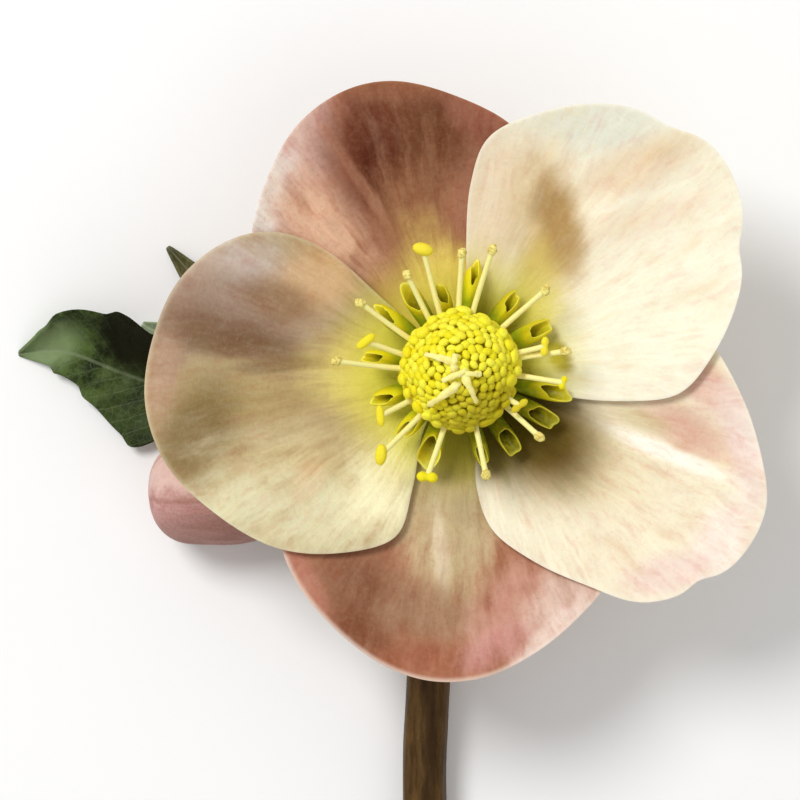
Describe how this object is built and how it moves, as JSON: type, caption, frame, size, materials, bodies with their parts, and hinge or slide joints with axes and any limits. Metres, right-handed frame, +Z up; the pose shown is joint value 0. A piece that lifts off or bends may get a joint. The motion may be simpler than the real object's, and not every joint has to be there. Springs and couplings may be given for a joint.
{
  "type": "hellebore flower",
  "caption": "Picked hellebore lying on a surface: an open shallow bloom facing up over overlapping sepals, with a boss of stamens, a closed bud and toothed bract leaves on a cut stem.",
  "frame": {"origin": "on the surface that the flower lies on, below the middle of its outer box", "axes": "+Z up from the surface, the way the bloom faces; +Y along the stem from its cut end towards the bloom; +X to the right"},
  "size_m": [0.0962, 0.1416, 0.0323],
  "materials": {
    "dusky_sepal": "soft satin, dusky rose-brown with radial streaks",
    "cream_sepal": "soft satin, cream with tan and pink streaks",
    "nectary": "waxy, green shading to yellow at the mouth",
    "anther": "matt, bright yellow",
    "style": "matt, ivory",
    "stem": "satin, brown-olive flushed dark red",
    "bud": "soft satin, dusty pink with fine veins",
    "leaf": "leathery satin, dark green with paler veins"
  },
  "bodies": {
    "root": {"sepal_top_left": "dusky_sepal", "sepal_bottom": "dusky_sepal", "sepal_top_right": "cream_sepal", "sepal_lower_right": "cream_sepal", "sepal_left": "cream_sepal", "nectaries": "nectary", "stamens": "anther", "styles": "style", "stem": "stem", "bud": "bud", "leaf_left": "leaf", "leaf_middle": "leaf", "leaf_upper": "leaf"}
  },
  "joints": []
}
